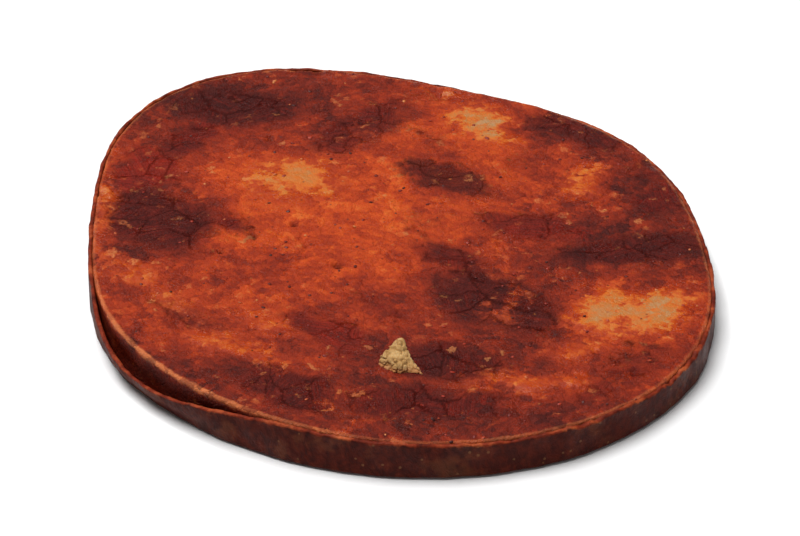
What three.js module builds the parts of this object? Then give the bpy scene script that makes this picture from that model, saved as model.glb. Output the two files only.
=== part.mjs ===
// One slice of a cured, paprika-red sausage, lying on its lower cut face: the cured meat, the casing
// round its edge and a dry crumb on top. Millimetres, +Z up, the origin in the middle of the lower cut face.
import * as THREE from 'three';

// Driving dimensions, in millimetres. Bearings are in degrees from +X towards +Y.
const WIDTH = 42; // across the slice along X, casing included
const DEPTH = 48; // across the slice along Y, casing included
const THICKNESS_LEFT = 3.2; // at the left end: the knife ran out of square
const THICKNESS_RIGHT = 2.3; // at the right end
const CROWN = 0.25; // the middle of the upper cut face above its rim
const UPPER_ROUND = 0.35; // radius of the meat's upper edge
const LOWER_CHAMFER = 0.15; // on the meat's lower edge
const CASING = 0.3; // thickness of the casing
const CASING_GAP = 0.1; // clearance between the meat and the casing
const CASING_LIFT = 0.15; // the casing's lower edge above the lower cut face
const CASING_DROP = 0.2; // the casing's upper edge below the upper cut face
const LOOSE_STAND_OFF = 0.5; // the loose stretch of casing, out from where it grew
const LOOSE_BEARING = 222; // middle of the loose stretch
const LOOSE_SPAN = 64; // the loose stretch from end to end, in degrees
const CRUMB_WIDTH = 2.9; // along X
const CRUMB_LENGTH = 2.8; // along Y
const CRUMB_HEIGHT = 1.2;
const CRUMB_CHAMFER = 0.12; // all round the crumb
const CRUMB_BEARING = 268;
const CRUMB_FROM_RIM = 9; // middle of the crumb in from the slice's edge
const CRUMB_GAP = 0.08; // clearance between the crumb and the meat under it

// The slice's outline is a round with four slow waves in it: how far each one swings, as a share of the
// radius, how often it comes round, and the bearing at which it stands out.
const WAVES = [
  { swing: 0.084, count: 2, bearing: -65 },
  { swing: 0.022, count: 3, bearing: 5 },
  { swing: 0.03, count: 4, bearing: 36 },
  { swing: 0.012, count: 5, bearing: -23 },
];

// The crumb's outline, as shares of its width and length.
const CRUMB_OUTLINE = [
  [-0.5, -0.08],
  [-0.12, -0.46],
  [0.5, -0.5],
  [0.26, 0.06],
  [0.04, 0.5],
  [-0.22, 0.22],
];
const CRUMB_SLOPE = 0.25; // share of its height that the crumb's top loses from its middle to its right end

const SEGMENTS = 96; // round the slice
const ROUND_STEPS = 3; // in the meat's upper edge
const FACE_RINGS = [0, 0.3, 0.6, 0.85]; // rings of vertices across a cut face, as shares of its radius

// Each solid of the slice is turned as a round, level blank. Within EDGE_BAND of the rim, distances in
// from the blank's rim stay as they are when it is given the slice's outline.
const BLANK_RADIUS = WIDTH / 2;
const BLANK_HEIGHT = 10;
const EDGE_BAND = 3;

const { degToRad, radToDeg, euclideanModulo, lerp } = THREE.MathUtils;

function wavyRound(angle) {
  let radius = 1;
  for (const wave of WAVES) {
    radius += wave.swing * Math.cos(wave.count * (angle - degToRad(wave.bearing)));
  }
  return new THREE.Vector2(Math.cos(angle), Math.sin(angle)).multiplyScalar(radius);
}

const wavyBox = new THREE.Box2();
for (let step = 0; step < SEGMENTS; step += 1) {
  wavyBox.expandByPoint(wavyRound((step / SEGMENTS) * 2 * Math.PI));
}
const wavyMiddle = wavyBox.getCenter(new THREE.Vector2());
const stretch = new THREE.Vector2(WIDTH, DEPTH).divide(wavyBox.getSize(new THREE.Vector2()));

// The outside of the slice at a bearing, as a point seen from above.
function rim(angle) {
  return wavyRound(angle).sub(wavyMiddle).multiply(stretch);
}

// The direction straight out of the rim.
function outward(angle) {
  const step = 0.001;
  const along = rim(angle + step).sub(rim(angle - step)).normalize();
  return new THREE.Vector2(along.y, -along.x);
}

// A point of the round blank, moved to its place in the slice's outline.
function placeInOutline(radius, angle) {
  const fromRim = BLANK_RADIUS - radius;
  const point = rim(angle).addScaledVector(outward(angle), -Math.min(fromRim, EDGE_BAND));
  if (fromRim > EDGE_BAND) {
    point.multiplyScalar(radius / (BLANK_RADIUS - EDGE_BAND));
  }
  return point;
}

// Height of the upper cut face, which slopes from left to right and is a little crowned.
function faceHeight(point) {
  const level = lerp(THICKNESS_LEFT, THICKNESS_RIGHT, 0.5 + point.x / WIDTH);
  const outwards = Math.hypot(point.x / (WIDTH / 2), point.y / (DEPTH / 2));
  return level + CROWN * Math.max(0, 1 - outwards ** 2);
}

// Turns a profile into a blank and gives it the slice's outline and its sloping face. Heights in the
// blank's lower half are kept from the lower cut face, those in its upper half from the upper one.
function turnSlice(profile, standOff = () => 0) {
  const geometry = new THREE.LatheGeometry(profile, SEGMENTS);
  geometry.rotateX(Math.PI / 2);
  const positions = geometry.attributes.position;
  for (let index = 0; index < positions.count; index += 1) {
    const x = positions.getX(index);
    const y = positions.getY(index);
    const height = positions.getZ(index);
    const angle = Math.atan2(y, x);
    const point = placeInOutline(Math.hypot(x, y), angle);
    const top = faceHeight(point);
    point.addScaledVector(outward(angle), standOff(angle));
    const z = height < BLANK_HEIGHT / 2 ? height : top + height - BLANK_HEIGHT;
    positions.setXYZ(index, point.x, point.y, z);
  }
  geometry.computeVertexNormals();
  return geometry;
}

// The lean, the fat and the spice have cured into one mass, so the meat is one solid.
function meatGeometry() {
  const edge = BLANK_RADIUS - CASING - CASING_GAP;
  const rings = FACE_RINGS.map((share) => share * (edge - UPPER_ROUND));
  const profile = rings.map((radius) => new THREE.Vector2(radius, 0));
  profile.push(new THREE.Vector2(edge - LOWER_CHAMFER, 0));
  profile.push(new THREE.Vector2(edge, LOWER_CHAMFER));
  for (let step = 0; step <= ROUND_STEPS; step += 1) {
    const turn = (step / ROUND_STEPS) * (Math.PI / 2);
    const radius = edge - UPPER_ROUND + UPPER_ROUND * Math.cos(turn);
    const height = BLANK_HEIGHT - UPPER_ROUND + UPPER_ROUND * Math.sin(turn);
    profile.push(new THREE.Vector2(radius, height));
  }
  rings.reverse().forEach((radius) => profile.push(new THREE.Vector2(radius, BLANK_HEIGHT)));
  return turnSlice(profile);
}

// How far the casing stands off: nothing, but for the one stretch that has come loose.
function looseness(angle) {
  const away = euclideanModulo(radToDeg(angle) - LOOSE_BEARING + 180, 360) - 180;
  const share = away / (LOOSE_SPAN / 2);
  return Math.abs(share) < 1 ? LOOSE_STAND_OFF * Math.cos((share * Math.PI) / 2) ** 2 : 0;
}

// The casing is a band round the meat, and its profile closes on itself.
function casingGeometry() {
  const inside = BLANK_RADIUS - CASING;
  const low = CASING_LIFT;
  const high = BLANK_HEIGHT - CASING_DROP;
  const profile = [
    new THREE.Vector2(inside, low),
    new THREE.Vector2(BLANK_RADIUS, low),
    new THREE.Vector2(BLANK_RADIUS, high),
    new THREE.Vector2(inside, high),
    new THREE.Vector2(inside, low),
  ];
  return turnSlice(profile, looseness);
}

// The crumb is a chamfered flake whose top falls away to the right.
function crumbGeometry() {
  const corners = CRUMB_OUTLINE.map(([x, y]) => {
    const across = x * (CRUMB_WIDTH - 2 * CRUMB_CHAMFER);
    const along = y * (CRUMB_LENGTH - 2 * CRUMB_CHAMFER);
    return new THREE.Vector2(across, along);
  });
  const geometry = new THREE.ExtrudeGeometry(new THREE.Shape(corners), {
    depth: CRUMB_HEIGHT - 2 * CRUMB_CHAMFER,
    bevelEnabled: true,
    bevelSize: CRUMB_CHAMFER,
    bevelThickness: CRUMB_CHAMFER,
    bevelSegments: 1,
  });
  geometry.translate(0, 0, CRUMB_CHAMFER);
  const positions = geometry.attributes.position;
  for (let index = 0; index < positions.count; index += 1) {
    const right = Math.max(0, positions.getX(index) / (CRUMB_WIDTH / 2));
    positions.setZ(index, positions.getZ(index) * (1 - CRUMB_SLOPE * right));
  }
  geometry.computeVertexNormals();
  return geometry;
}

// Where the crumb rests: on the highest point of the cut face that lies under it.
function crumbPlace() {
  const angle = degToRad(CRUMB_BEARING);
  const middle = rim(angle).addScaledVector(outward(angle), -CRUMB_FROM_RIM);
  const corners = CRUMB_OUTLINE.map(([x, y]) => {
    return new THREE.Vector2(x * CRUMB_WIDTH, y * CRUMB_LENGTH).add(middle);
  });
  const seat = Math.max(...corners.map(faceHeight));
  return new THREE.Vector3(middle.x, middle.y, seat + CRUMB_GAP);
}

function piece(name, geometry, color, roughness) {
  const material = new THREE.MeshStandardMaterial({ color, roughness, metalness: 0 });
  const mesh = new THREE.Mesh(geometry, material);
  mesh.name = name;
  return mesh;
}

const slice = new THREE.Group();
slice.name = 'cured_sausage_slice';

slice.add(piece('meat', meatGeometry(), '#933b23', 0.45));
slice.add(piece('casing', casingGeometry(), '#4f1e10', 0.6));

const crumb = piece('crumb', crumbGeometry(), '#a97f48', 0.9);
crumb.position.copy(crumbPlace());
slice.add(crumb);

export default slice;
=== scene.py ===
# %% [markdown]
# # A slice of cured paprika sausage
#
# The real thing is a hand-cut slice, 42 mm by 48 mm and about 3 mm thick, of coarse pork sausage: lumps of
# dark lean and of fat, bound by a paste that paprika has dyed red and orange. It lies on its lower cut face.
# Round it runs the casing, a thin dry skin that has come loose at the front left, and a pale crumb lies on
# top. The CAD frame gives each of the three its place and size. Everything here is fitted to that frame.

# %% Load the frame
import math

import bmesh
import bpy
import numpy as np
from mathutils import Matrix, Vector
from mathutils.bvhtree import BVHTree
from mathutils.kdtree import KDTree


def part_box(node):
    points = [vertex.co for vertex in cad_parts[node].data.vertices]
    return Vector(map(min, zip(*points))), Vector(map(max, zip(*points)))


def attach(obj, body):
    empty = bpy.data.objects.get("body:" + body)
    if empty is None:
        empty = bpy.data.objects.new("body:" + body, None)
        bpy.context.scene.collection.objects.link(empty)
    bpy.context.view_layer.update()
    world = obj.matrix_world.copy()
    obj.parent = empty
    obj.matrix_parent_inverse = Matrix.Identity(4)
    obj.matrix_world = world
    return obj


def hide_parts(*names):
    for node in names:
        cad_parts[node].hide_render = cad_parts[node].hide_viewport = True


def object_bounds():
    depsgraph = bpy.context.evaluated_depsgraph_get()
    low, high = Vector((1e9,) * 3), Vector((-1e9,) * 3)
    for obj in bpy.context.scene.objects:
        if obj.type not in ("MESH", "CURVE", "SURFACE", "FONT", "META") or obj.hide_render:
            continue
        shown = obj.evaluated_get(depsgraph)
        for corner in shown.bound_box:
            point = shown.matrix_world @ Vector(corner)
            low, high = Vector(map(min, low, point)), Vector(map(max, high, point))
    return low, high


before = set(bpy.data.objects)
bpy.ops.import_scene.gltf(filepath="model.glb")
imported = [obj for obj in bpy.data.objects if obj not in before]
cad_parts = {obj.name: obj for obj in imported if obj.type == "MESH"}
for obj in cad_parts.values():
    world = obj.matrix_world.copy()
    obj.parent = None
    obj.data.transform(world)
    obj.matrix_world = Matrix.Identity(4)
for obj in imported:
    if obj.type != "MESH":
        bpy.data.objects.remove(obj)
cad_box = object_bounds()
MM = 0.001
print("frame, mm:", [round(side / MM, 2) for side in cad_box[1] - cad_box[0]])

# %% [markdown]
# ## Measuring the frame
#
# The frame is made of flat facets, and the real slice is round. So its walls are measured by casting rays
# at them, one for each half degree, and the radii that come back are eased, which rounds the flats off
# without moving the wall. The upper cut face slopes and is a little crowned, and a plane with two squared
# terms, fitted to the heights found by casting rays down on it, says how high it is at any point.

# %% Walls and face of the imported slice
BEARINGS = np.radians(np.arange(0.0, 360.0, 0.5))
REACH = 60.0  # a ray that comes in from outside starts this far out
OVERLAP = 0.02  # how far the meat is let into the casing, so that no gap shows
WALL_LEVEL = 1.0  # height at which the walls are measured


def solid_tree(node):
    """A CAD node as something that rays can be cast at, in millimetres."""
    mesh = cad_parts[node].data
    corners = [vertex.co / MM for vertex in mesh.vertices]
    return BVHTree.FromPolygons(corners, [tuple(face.vertices) for face in mesh.polygons])


def eased(values, spread=1.5):
    """Values round the slice with ripples shorter than a few degrees taken out."""
    waves = np.arange(len(values) // 2 + 1)
    kept = np.exp(-0.5 * (waves * math.radians(spread)) ** 2)
    return np.fft.irfft(np.fft.rfft(values) * kept, len(values))


def wall_radius(tree, outside):
    """How far a wall is from the middle at each bearing, on its outside or its inside."""
    radii = []
    for bearing in BEARINGS:
        way = Vector((math.cos(bearing), math.sin(bearing), 0.0))
        start = Vector((0.0, 0.0, WALL_LEVEL)) + way * (REACH if outside else 0.0)
        hit = tree.ray_cast(start, -way if outside else way)[0]
        radii.append(hit.xy.length)
    return eased(np.array(radii))


def at_bearing(values, angle):
    return np.interp(np.mod(angle, 2 * math.pi), BEARINGS, values, period=2 * math.pi)


def face_terms(x, y):
    return np.stack([np.ones_like(x), x, y, x * x, y * y], axis=-1)


meat_tree = solid_tree("meat")
casing_tree = solid_tree("casing")
meat_wall = wall_radius(meat_tree, True)
casing_inside = wall_radius(casing_tree, False)
casing_outside = wall_radius(casing_tree, True)


def spots_on_face():
    """Points spread over the upper cut face, found by rays cast down on it."""
    spots = []
    for share in (0.12, 0.3, 0.45, 0.6, 0.75, 0.88):
        for bearing in BEARINGS[3::29]:
            radius = share * at_bearing(meat_wall, bearing)
            above = Vector((radius * math.cos(bearing), radius * math.sin(bearing), REACH))
            spots.append(meat_tree.ray_cast(above, Vector((0.0, 0.0, -1.0)))[0])
    return np.array([tuple(spot) for spot in spots if spot])


spots = spots_on_face()
FACE = np.linalg.lstsq(face_terms(spots[:, 0], spots[:, 1]), spots[:, 2], rcond=None)[0]


def face_height(x, y):
    """Height of the upper cut face above the lower one."""
    return face_terms(x, y) @ FACE


GROWN_GAP = float(np.median(casing_inside - meat_wall))  # where the casing has not come loose
stand_off = casing_inside - meat_wall - GROWN_GAP
looseness = np.clip(stand_off / stand_off.max(), 0.0, 1.0)


def meat_edge(bearing):
    """The meat's wall as it is built: against the casing, except where the casing has come loose."""
    gap = at_bearing(casing_inside - meat_wall, bearing)
    return at_bearing(meat_wall, bearing) + np.minimum(gap, GROWN_GAP) + OVERLAP


print("casing stands off by at most, mm:", round(stand_off.max(), 2))
print("meat wall, mm:", round(meat_wall.min(), 2), "to", round(meat_wall.max(), 2))
print("face height in the middle, mm:", round(float(FACE[0]), 2))

# %% [markdown]
# ## Noise for the meshes
#
# A cut face is never quite flat and a lump of fat is never quite round. Blender's texture nodes can bend a
# surface, but here the same bumps also decide where the fat and the lean are, so they are worked out with
# numpy: random values on a lattice, blended smoothly between the lattice's points. A seed fixes them.

# %% Smooth noise
LATTICE = 24


def bumps(points, size, seed):
    """Smooth noise from about -1 to 1, with bumps about size across."""
    lattice = np.random.default_rng(seed).uniform(-1.0, 1.0, (LATTICE,) * 3)
    place = points / size
    corner = np.floor(place).astype(int)
    share = place - corner
    share = share ** 3 * (share * (share * 6 - 15) + 10)
    total = np.zeros(len(points))
    for step in np.ndindex(2, 2, 2):
        weight = np.prod(np.where(np.array(step) == 1, share, 1 - share), axis=1)
        index = (corner + step) % LATTICE
        total += weight * lattice[index[:, 0], index[:, 1], index[:, 2]]
    return total


def rough_bumps(points, size, seed, octaves=3):
    """Noise with finer and shallower bumps on its bumps."""
    total = np.zeros(len(points))
    for octave in range(octaves):
        total += bumps(points, size / 2 ** octave, seed + octave) / 2 ** octave
    return total


def bent(points, size, depth, seed):
    """The points, each pushed a little way by noise, which makes what is drawn on them irregular."""
    push = [rough_bumps(points, size, seed + 10 * axis) for axis in range(3)]
    return points + depth * np.stack(push, axis=1)


def step_up(values, low, high):
    """0 below low, 1 above high, and a smooth rise between."""
    share = np.clip((values - low) / (high - low), 0.0, 1.0)
    return share * share * (3 - 2 * share)


print("noise along a line:", bumps(np.linspace((0, 0, 0), (2, 0, 0), 5), 1.0, seed=1).round(2))

# %% [markdown]
# ## What the meat is made of
#
# Coarse sausage is minced, filled and cured, so a slice shows a mosaic. Large lumps of fat and of dark lean
# are placed one by one, as a butcher would describe them: where each one is, how long and wide, which way it
# lies. Between them is a finer mosaic of chunks, made by seeds scattered through the slice: each point
# belongs to its nearest seed. Paprika oil has soaked into zones round the fat and dyed them orange.
# All of this is solid, so it is worked out in three dimensions and both cut faces and the wall agree.

# %% Lumps listed one by one
DRAWN_WIDE, DRAWN_DEEP = 42.0, 48.0  # the slice that the lists below are written for

# x, y, half length, half width, turn in degrees, and 0 for yellow fat to 1 for cream
FAT_LUMPS = [
    (-7.2, 8.0, 3.2, 2.9, 60, 0.3),
    (5.9, 16.0, 2.9, 1.7, -62, 1.0),
    (7.3, 14.4, 1.4, 0.9, -55, 0.7),
    (17.0, -8.0, 3.0, 1.9, 50, 1.0),
    (13.6, -7.7, 2.8, 2.2, 70, 0.6),
    (15.4, -9.2, 2.6, 1.5, 10, 0.9),
    (15.3, -7.6, 2.2, 1.9, 0, 0.7),
    (-17.0, -5.2, 2.5, 0.45, -45, 0.0),
    (-11.0, -12.8, 2.7, 0.8, -35, 0.15),
    (-9.0, -10.2, 1.5, 0.7, -40, 0.1),
    (9.4, -16.8, 2.8, 0.6, 5, 0.1),
    (11.6, -13.0, 1.3, 0.7, 30, 0.5),
    (12.8, 8.8, 1.7, 0.8, 70, 0.45),
    (-20.3, 4.0, 4.4, 0.35, 92, 0.1),
    (8.6, 19.0, 0.9, 0.4, -25, 0.2),
]

# x, y, half length, half width, turn, and 0 for dark brown lean to 1 for bright red lean
LEAN_LUMPS = [
    (3.2, 8.5, 2.9, 1.7, -42, 0.0),
    (-16.8, 2.4, 4.2, 2.8, -48, 0.15),
    (-17.4, 9.2, 2.6, 2.2, 70, 1.0),
    (-11.6, 17.8, 3.7, 2.5, -10, 0.1),
    (-2.6, 15.2, 4.0, 1.7, 52, 0.45),
    (6.2, -7.2, 3.9, 2.6, -45, 0.05),
    (3.6, -2.0, 2.4, 1.3, -40, 0.45),
    (14.2, -0.6, 3.2, 1.5, 5, 0.05),
    (18.0, 0.3, 2.2, 1.6, 10, 0.05),
    (12.8, 15.8, 3.0, 1.8, -35, 0.15),
    (18.2, 6.2, 1.6, 1.2, 60, 0.6),
    (3.2, -15.0, 3.0, 1.6, -10, 0.2),
    (1.2, -19.2, 4.6, 1.4, 0, 0.45),
    (-6.8, -17.8, 3.8, 1.6, -25, 0.3),
    (-4.8, -11.8, 2.7, 1.3, -40, 0.8),
    (-14.9, 12.8, 2.4, 1.2, 60, 0.6),
    (13.8, -16.4, 2.4, 0.8, 35, 0.6),
    (8.8, 2.4, 3.2, 0.9, -10, 0.75),
    (-13.6, -9.2, 3.4, 0.5, -48, 0.5),
    (-11.4, 2.0, 1.3, 0.9, -30, 0.6),
]

# x, y, half length, half width, turn, and from -1 for lean paste to 1 or more for paste soaked in orange oil
TINTED_ZONES = [
    (-7.2, 7.0, 7.4, 6.6, 20, 1.0),
    (-5.8, 3.2, 4.2, 4.6, 0, 2.4),
    (-2.6, 1.8, 8.4, 5.6, -20, 1.2),
    (-9.5, 11.5, 5.0, 2.6, 5, 0.9),
    (3.2, 13.4, 5.2, 4.4, -60, 1.3),
    (9.6, 9.6, 4.6, 2.6, -10, 0.5),
    (-15.5, -6.6, 6.5, 2.4, -42, 0.5),
    (-9.5, -11.0, 6.4, 3.6, -35, 0.7),
    (-8.8, -4.0, 4.4, 2.6, -20, 0.6),
    (14.2, -8.4, 5.0, 3.8, 10, 0.5),
    (9.4, -16.4, 6.0, 2.2, 8, 0.2),
    (9.4, 4.6, 4.6, 3.0, -20, 0.4),
    (0.4, -8.4, 3.6, 2.4, -20, 0.5),
    (-11.5, 17.2, 7.6, 4.2, -12, -0.9),
    (-17.0, 2.4, 4.0, 4.6, -30, -1.0),
    (14.6, 14.6, 5.0, 3.6, -45, -0.4),
    (17.0, 3.0, 3.4, 5.6, 10, -0.6),
    (12.0, -0.4, 4.6, 2.6, 5, -0.9),
    (6.4, -7.4, 4.4, 3.8, -45, -0.8),
    (17.6, -4.4, 3.0, 1.8, 0, -0.3),
    (-5.0, -17.6, 8.4, 3.0, -14, -0.6),
    (3.0, -20.4, 9.0, 1.8, 3, -0.7),
    (3.0, -14.6, 4.4, 2.8, -5, -0.7),
    (0.5, 19.5, 6.0, 2.0, -12, 0.0),
]
FACE_LEVEL = float(FACE[0])
half_wide = (cad_box[1].x - cad_box[0].x) / MM / 2
half_deep = (cad_box[1].y - cad_box[0].y) / MM / 2
SPREAD = np.array([2 * half_wide / DRAWN_WIDE, 2 * half_deep / DRAWN_DEEP, 1.0])
print(len(FAT_LUMPS), "fat lumps and", len(LEAN_LUMPS), "lean lumps on the upper face")

# %% More lumps for the lower face
LUMP_DEPTH = 2.2  # half the height of a lump, so that few reach right through the slice
LUMP_POWER = 2.4  # 2 makes egg shapes, and more makes their sides flatter
LUMP_SPACING = 4.6  # from one lump on the lower face to the next, at least
LUMPS_WITHIN = 0.92  # of the way out from the middle to the rim


def hidden_lumps(count, seed):
    """Lumps low in the slice, scattered evenly, that show on the lower face."""
    draw = np.random.default_rng(seed)
    lumps = []
    while len(lumps) < count:
        x, y = draw.uniform(-0.9, 0.9, 2) * (half_wide, half_deep)
        if math.hypot(x / half_wide, y / half_deep) > LUMPS_WITHIN:
            continue
        if any(math.hypot(x - other[0], y - other[1]) < LUMP_SPACING for other in lumps):
            continue
        length = draw.uniform(1.8, 3.8)
        width = length * draw.uniform(0.45, 0.8)
        lumps.append((x, y, length, width, draw.uniform(-90, 90), draw.uniform(0, 1)))
    return lumps


def lumps_inside(points, lumps, level):
    """How deep each point is in its nearest lump, in millimetres, and that lump's last value."""
    depth = np.full(len(points), -9.0)
    tone = np.zeros(len(points))
    for x, y, length, width, turn, *rest in lumps:
        offset = points - np.array([x, y, level]) * SPREAD
        cos, sin = math.cos(math.radians(turn)), math.sin(math.radians(turn))
        along = (offset[:, 0] * cos + offset[:, 1] * sin) / length
        across = (offset[:, 1] * cos - offset[:, 0] * sin) / width
        sides = (along, across, offset[:, 2] / LUMP_DEPTH)
        out = sum(abs(side) ** LUMP_POWER for side in sides) ** (1 / LUMP_POWER)
        here = (1 - out) * min(length, width, LUMP_DEPTH)
        deeper = here > depth
        depth[deeper] = here[deeper]
        if rest:
            tone[deeper] = rest[0]
    return depth, tone


def soaked(points):
    """How much oil the paste at each point has taken up, from -1 for lean paste to 1 for orange paste."""
    total = np.zeros(len(points))
    weight = np.full(len(points), 0.35)
    for zone in TINTED_ZONES:
        depth, _ = lumps_inside(points, [zone[:5]], FACE_LEVEL)
        share = step_up(depth, -2.2, 1.4)
        total += share * zone[5]
        weight += share
    upper = total / weight
    lower = bumps(points, 7.0, 320)
    return upper + (lower - upper) * (1 - step_up(points[:, 2], 0.3, 1.9))


LOW_FAT = hidden_lumps(13, seed=31)
LOW_LEAN = hidden_lumps(17, seed=47)
print(len(LOW_FAT) + len(LOW_LEAN), "more lumps on the lower face")

# %% The finer mosaic of chunks
CHUNK = 2.9  # from one chunk to the next
SEAM_WIDTH = 0.16  # between two chunks


def chunk_seeds():
    """One seed in each cell of a box grid round the slice, each somewhere in its cell."""
    reaches = (half_wide + CHUNK, half_deep + CHUNK, 2 * CHUNK)
    steps = [np.arange(-reach, reach, CHUNK) for reach in reaches]
    cells = np.stack(np.meshgrid(*steps, indexing="ij"), axis=-1).reshape(-1, 3)
    seeds = cells + np.random.default_rng(5).uniform(0, CHUNK, cells.shape)
    tree = KDTree(len(seeds))
    for index, seed in enumerate(seeds):
        tree.insert(seed, index)
    tree.balance()
    return tree, len(seeds)


def chunks(points):
    """The chunk that each point is in, and how far it is from that chunk's border."""
    nearest = [seed_tree.find_n(point, 2) for point in points]
    owner = np.array([pair[0][1] for pair in nearest])
    border = np.array([(pair[1][2] - pair[0][2]) / 2 for pair in nearest])
    return owner, border


seed_tree, CHUNKS = chunk_seeds()
print(CHUNKS, "chunks")

# %% Air holes
# x, y and radius
AIR_HOLES = [(-4.1, -3.2, 0.36), (-9.0, 13.6, 0.30), (-7.1, 1.9, 0.24), (9.6, 1.1, 0.2), (-12.0, -1.6, 0.2)]


def pits(points, spread=1.0):
    """How far each point of the upper face is inside an air hole, from 0 to 1."""
    total = np.zeros(len(points))
    for x, y, radius in AIR_HOLES:
        away = np.hypot(points[:, 0] - x * SPREAD[0], points[:, 1] - y * SPREAD[1])
        total += np.exp(-((away / (radius * spread)) ** 2))
    return total * step_up(points[:, 2], 1.0, 2.0)


print(len(AIR_HOLES), "air holes")

# %% Everything that a point of the meat is told
RIM_WIDTH = 0.28  # of the painted highlight line round the edge of the cut


def in_either(points, upper_lumps, lower_lumps):
    """How deep each point is in a lump of either face, and that lump's tone."""
    upper, upper_tone = lumps_inside(points, upper_lumps, FACE_LEVEL)
    lower, lower_tone = lumps_inside(points, lower_lumps, 0.0)
    return np.maximum(upper, lower), np.where(upper > lower, upper_tone, lower_tone)


def marbling(points):
    """Fields over points of the meat: depths in mm, shares from 0 to 1, and the grain's turn."""
    loose = bent(points, 3.2, 0.5, seed=100)
    fine = bent(loose, 1.3, 0.28, seed=200)
    fat, cream = in_either(fine, FAT_LUMPS, LOW_FAT)
    lean, bright = in_either(fine, LEAN_LUMPS, LOW_LEAN)
    owner, border = chunks(fine)
    draw = np.random.default_rng(77)
    shade = draw.uniform(0, 1, CHUNKS)
    turn = draw.uniform(0, math.pi, CHUNKS)
    bearing = np.arctan2(points[:, 1], points[:, 0])
    inwards = meat_edge(bearing) - np.hypot(points[:, 0], points[:, 1])
    downwards = face_height(points[:, 0], points[:, 1]) - points[:, 2]
    return {
        "fat_depth": fat,
        "cream": cream,
        "lean_depth": lean - 0.6 * step_up(fat, -0.6, 0.2),
        "bright_lean": bright,
        "oil": np.clip(soaked(loose) + 0.4 * step_up(fat, -1.4, 0.1), -1, 1.4),
        # pit: where the painted shade of the air holes goes
        "pit": pits(points, 0.75),
        "shade": shade[owner],
        "seam": np.exp(-((border / SEAM_WIDTH) ** 2)),
        "grain_turn": turn[owner],
        # rim: where the painted highlight along the edge of the cut goes
        "rim": np.exp(-(inwards ** 2 + downwards ** 2) / RIM_WIDTH ** 2),
        # side: how far below the upper cut face a point is, which sets the painted shade of the wall and the
        # lower face
        "side": step_up(downwards, 0.2, 0.6),
        "peeled": at_bearing(looseness, bearing),
    }


for name, values in marbling(np.array([[0.0, 0.0, FACE_LEVEL]])).items():
    print(name, "in the middle of the face:", round(float(values[0]), 2))

# %% [markdown]
# ## The meat's mesh
#
# A disc could be a fan of rings, but its middle would crowd to a point and its rim would be coarse. A square
# grid squeezed into the round has cells of nearly one size, so the relief is as sharp everywhere. The upper
# face has a fine grid and the lower one, which lies on the table, a grid half as fine. Rows of vertices down
# the wall join the two. Then the relief is pressed in: lean dries and sinks a little, fat stands proud,
# seams between chunks open here and there, and small air holes are left where the mince did not close.

# %% Grids squeezed into a round
UPPER_CELLS = 256
LOWER_CELLS = UPPER_CELLS // 2


def squeezed_grid(cells):
    """Bearing and share of the radius at each point of a square grid squeezed into a round."""
    side = np.linspace(-1.0, 1.0, cells + 1)
    a, b = [part.ravel() for part in np.meshgrid(side, side)]
    wide = abs(a) >= abs(b)
    share = np.where(wide, a, b)
    safe = np.where(share == 0, 1.0, share)
    bearing = np.where(wide, math.pi / 4 * b / safe, math.pi / 2 - math.pi / 4 * a / safe)
    return bearing + np.where(share < 0, math.pi, 0.0), abs(share)


def grid_faces(cells, first, upwards):
    """The squares of a grid whose first vertex has the index first."""
    row = cells + 1
    corner = (np.arange(cells)[:, None] * row + np.arange(cells)).ravel() + first
    square = np.stack([corner, corner + 1, corner + row + 1, corner + row], axis=1)
    return (square if upwards else square[:, ::-1]).tolist()


def grid_border(cells, first):
    """The indices round a grid's border, once round counter-clockwise as seen from above."""
    row = cells + 1
    along = np.arange(cells)
    sides = [along, cells + along * row, cells * row + cells - along, (cells - along) * row]
    return (np.concatenate(sides) + first).tolist()


print((UPPER_CELLS + 1) ** 2, "points on the upper face")

# %% The relief
UPPER_ROUND = 0.2  # radius of the upper edge
LOWER_ROUND = 0.15


def face_relief(points, fields):
    """How far the cut face stands above its plain height, in millimetres."""
    open_seam = fields["seam"] * step_up(bumps(points, 3.4, 301), 0.25, 0.7)
    fat, lean = step_up(fields["fat_depth"], -0.2, 0.3), step_up(fields["lean_depth"], -0.2, 0.4)
    lift = 0.08 * bumps(points, 11.0, 302) + 0.022 * bumps(points, 2.4, 303)
    lift += 0.04 * fat - 0.05 * lean - 0.16 * open_seam * (1 - fat)
    lift += 0.034 * rough_bumps(bent(points, 1.0, 0.3, 340), 0.62, 304) * (1 - 0.6 * fat)
    return lift - 0.5 * pits(points)


print("edges rounded by, mm:", UPPER_ROUND, "above and", LOWER_ROUND, "below")

# %% Pieces
def new_piece(name, data):
    """An object in the scene, at the origin."""
    piece = bpy.data.objects.new(name, data)
    bpy.context.scene.collection.objects.link(piece)
    return piece


def reshaped(piece, change):
    """Puts a piece's mesh through a change that bmesh makes."""
    shape = bmesh.new()
    shape.from_mesh(piece.data)
    change(shape)
    shape.to_mesh(piece.data)
    shape.free()


def mesh_piece(name, points_mm, faces, fields=()):
    """A mesh object at the origin, smooth, from points in millimetres, with its fields as attributes."""
    mesh = bpy.data.meshes.new(name)
    mesh.from_pydata((points_mm * MM).tolist(), [], faces)
    for label in fields:
        attribute = mesh.attributes.new(label, "FLOAT", "POINT")
        attribute.data.foreach_set("value", np.asarray(fields[label], np.float32))
    mesh.shade_smooth()
    return new_piece(name, mesh)


def measured(piece):
    """Prints a piece's triangles, open edges and volume, which is above 0 if its faces point outwards."""
    shape = bmesh.new()
    shape.from_mesh(piece.data)
    open_edges = sum(1 for edge in shape.edges if len(edge.link_faces) != 2)
    triangles = sum(len(face.verts) - 2 for face in shape.faces)
    volume = shape.calc_volume(signed=True) / MM ** 3
    shape.free()
    print(f"{piece.name}: {triangles} triangles, {open_edges} open edges, {volume:.1f} mm3")


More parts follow.
